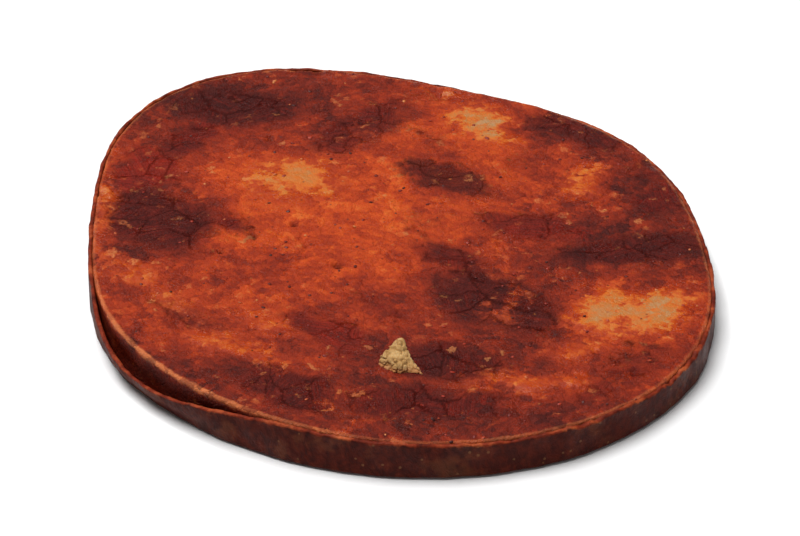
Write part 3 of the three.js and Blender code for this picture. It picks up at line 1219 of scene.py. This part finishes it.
def crumb_material():
    material, g, shader = new_material("dry_crumb")
    place = g.place()
    mottle = g.noise(place, 0.5, detail=4.0, roughness=0.6)
    # painted shade: darker where the crumb is hollow, on top of its random mottle
    colour = g.ramp(g.weighted(0.4, (mottle, 0.7), (g.field("hollow"), -0.35)), CRUMB_COLOURS)
    low = g.rise(g.split(place)["Z"], FACE_LEVEL - 0.1, FACE_LEVEL + 0.35, 1.0, 0.0)
    colour = g.blended(g.times(low, 0.55), colour, seen(184, 96, 44))
    film = g.use(FILM, Place=place, Patch=1.0, Dry=0.9, Wet=0.7)
    finish(
        g,
        shader,
        colour,
        film["Roughness"],
        (mottle, 0.7, 0.05),
        Subsurface_Weight=0.3,
        Subsurface_Radius=(1.0, 0.7, 0.4),
        Subsurface_Scale=0.3 * MM,
    )
    return material


CRUMB_COLOURS = [(0.0, 128, 86, 40), (0.4, 158, 116, 62), (0.75, 178, 138, 84), (1.0, 196, 160, 108)]
crumb = crumb_piece()
eat_into(crumb)
crumb.data.materials.append(crumb_material())
measured(crumb)

# %% [markdown]
# ## Spice on the cut faces
#
# Coarse paprika and chopped pepper show as hundreds of tiny flakes, half sunk in the cut. They repeat and
# they follow a surface, so Geometry Nodes scatter them: points on the faces that look up or down, and on
# each a small flattened ball with its own turn, size and tone. The seed keeps them in the same places.


# %% The scatter tree
LEVEL_ENOUGH = 0.8  # how level a face must be to catch flakes: 1 is quite level, 0 upright


def scatter_tree():
    inputs = ("Geometry", "Density", "Least", "Most", "Flatness", "Seed", "Material")
    g, given, result = new_tree("scattered flakes", "GeometryNodeTree", inputs, ("Geometry",))
    normal = g.split(g.out("GeometryNodeInputNormal"))
    level = g.math("GREATER_THAN", g.math("ABSOLUTE", normal["Z"]), LEVEL_ENOUGH)
    spots = {"Mesh": given["Geometry"], "Selection": level}
    spots.update({label: given[label] for label in ("Density", "Seed")})
    spots = g.add("GeometryNodeDistributePointsOnFaces", spots).outputs
    flake = g.out("GeometryNodeMeshUVSphere", {"Radius": 1.0, "Segments": 8, "Rings": 5})
    flake = g.out("GeometryNodeSetShadeSmooth", {"Geometry": flake})

    def drawn(low, high, seed, kind="FLOAT"):
        node = g.add("FunctionNodeRandomValue", data_type=kind)
        sockets = [socket for socket in node.inputs if socket.enabled and socket.name in ("Min", "Max")]
        for socket, value in zip(sockets, (low, high)):
            g.feed(socket, value)
        g.feed(node.inputs["Seed"], g.math("ADD", given["Seed"], seed))
        return next(socket for socket in node.outputs if socket.enabled)

    size = drawn(given["Least"], given["Most"], 1)
    length = g.times(size, drawn(0.8, 1.7, 2))
    scale = g.joined(length, size, g.times(size, given["Flatness"]))
    tilt = drawn((-0.35, -0.35, -3.1), (0.35, 0.35, 3.1), 3, "FLOAT_VECTOR")
    tilt = g.out("FunctionNodeEulerToRotation", {"Euler": tilt})
    turned = {"Rotation": spots["Rotation"], "Rotate By": tilt}
    turned = g.out("FunctionNodeRotateRotation", turned, rotation_space="LOCAL")
    placed = {"Points": spots["Points"], "Instance": flake, "Rotation": turned, "Scale": scale}
    placed = g.out("GeometryNodeInstanceOnPoints", placed)
    toned = g.stored(placed, "tone", drawn(0.0, 1.0, 4), domain="INSTANCE")
    g.feed(result["Geometry"], g.painted(toned, given["Material"]))
    return g.tree


def scattered(name, tree, **values):
    """Flakes on the meat's cut faces. Those underneath are pressed level with the table."""
    piece = run_tree(new_piece(name, meat.data.copy()), tree, **values)
    for vertex in piece.data.vertices:
        vertex.co.z = max(vertex.co.z, 0.0)
    measured(piece)
    return piece


def flake_material():
    material, g, shader = new_material("paprika")
    place = g.place()
    mottle = g.centred(g.noise(place, 0.08, detail=2.0))
    colour = g.ramp(g.weighted(g.field("tone"), (mottle, 0.4)), SPICE_COLOURS)
    film = g.use(FILM, Place=place, Patch=0.8, Dry=0.6, Wet=0.4)
    finish(g, shader, colour, film["Roughness"], IOR=1.4)
    return material


PER_MM2 = 1 / MM ** 2
spice = scattered(
    "paprika_flakes",
    scatter_tree(),
    Density=0.16 * PER_MM2,
    Least=0.05 * MM,
    Most=0.14 * MM,
    Flatness=0.45,
    Seed=11,
    Material=flake_material(),
)

# %% [markdown]
# ## Floor, light and camera
#
# The slice is shown as a plain product picture: on a pale floor that runs out of view on every side, under
# one broad soft lamp above and a little behind, which lights the cut face and leaves the wall in soft shade.
# Two weak lamps help it: one opens up the wall in front, and one puts a glint on the moist face. The sky
# gives a dim even fill, and is bright only where the camera looks straight at it. A long lens from far away
# keeps the oval of the slice true.

# %% Floor
FLOOR_REACH = 1.6  # metres
FLOOR_COLOURS = [(0.0, 240, 240, 240), (1.0, 246, 246, 246)]


def floor_material():
    material, g, shader = new_material("pale_floor")
    colour = g.ramp(g.noise(g.place(), 60.0, detail=2.0), FLOOR_COLOURS)
    finish(g, shader, colour, 0.9, Specular_IOR_Level=0.1)
    return material


floor = new_piece("floor", bpy.data.meshes.new("floor"))
disc = {"cap_ends": True, "segments": 96, "radius": FLOOR_REACH}
reshaped(floor, lambda shape: bmesh.ops.create_circle(shape, **disc))
floor.data.materials.append(floor_material())
print("floor, m across:", 2 * FLOOR_REACH)


# %% Light
SKY_FILL = 0.1  # how bright the sky is for the slice
SKY_SEEN = 1.1  # and where the camera looks at it


def studio_lamp(name, place, spread, strength):
    """A broad lamp far off in the direction of place, whose light has a spread in degrees."""
    lamp = bpy.data.lights.new(name, "SUN")
    lamp.angle = math.radians(spread)
    lamp.energy = strength
    holder = new_piece(name, lamp)
    holder.location = place
    holder.rotation_mode = "QUATERNION"
    holder.rotation_quaternion = (-Vector(place)).to_track_quat("-Z", "Y")


studio_lamp("key", (-0.2, 0.06, 0.8), 42, 3.5)
studio_lamp("front_fill", (0.35, -0.7, 0.55), 60, 0.2)
studio_lamp("back_glint", (-0.4, 0.5, 0.75), 12, 0.6)

world = bpy.data.worlds.new("studio")
world.use_nodes = True
sky = Graph(world.node_tree)
sky.tree.nodes.clear()
looked_at = sky.add("ShaderNodeLightPath").outputs["Is Camera Ray"]
strength = sky.rise(looked_at, 0.0, 1.0, SKY_FILL, SKY_SEEN)
backdrop = {"Color": (1.0, 1.0, 1.0, 1.0), "Strength": strength}
sky.add("ShaderNodeOutputWorld", {"Surface": sky.out("ShaderNodeBackground", backdrop)})
bpy.context.scene.world = world
bpy.context.scene.view_settings.view_transform = "Standard"
print("lamps:", [lamp.name for lamp in bpy.data.lights])

# %% Camera
LENS = 200.0
SENSOR = 36.0
VIEW_UP = math.radians(32.0)
FRAME_WIDE = 54.0  # millimetres of the table that the picture is wide
camera_data = bpy.data.cameras.new("camera")
camera_data.lens = LENS
camera_data.sensor_width = SENSOR
camera_data.clip_start = 0.01
camera_data.clip_end = 10.0
camera = new_piece("camera", camera_data)
aim = Vector((0.0, -0.3, 1.0)) * MM
back = Vector((0.0, -math.cos(VIEW_UP), math.sin(VIEW_UP)))
camera.location = aim + back * (FRAME_WIDE * LENS / SENSOR) * MM
camera.rotation_mode = "QUATERNION"
camera.rotation_quaternion = (-back).to_track_quat("-Z", "Y")
bpy.context.scene.camera = camera
print("camera, mm from the slice:", round(camera.location.length / MM))

# %% [markdown]
# ## Hand the pieces to the frame
#
# Each piece says which body it rides on and which CAD solid it stands for. The slice has one body.

# %% Pieces and bodies
for piece, node, slot in (
    (meat, "meat", "cured_meat"),
    (spice, "meat", "cured_meat"),
    (casing, "casing", "casing_skin"),
    (crumb, "crumb", "dry_crumb"),
):
    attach(piece, "root")
    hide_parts(node)
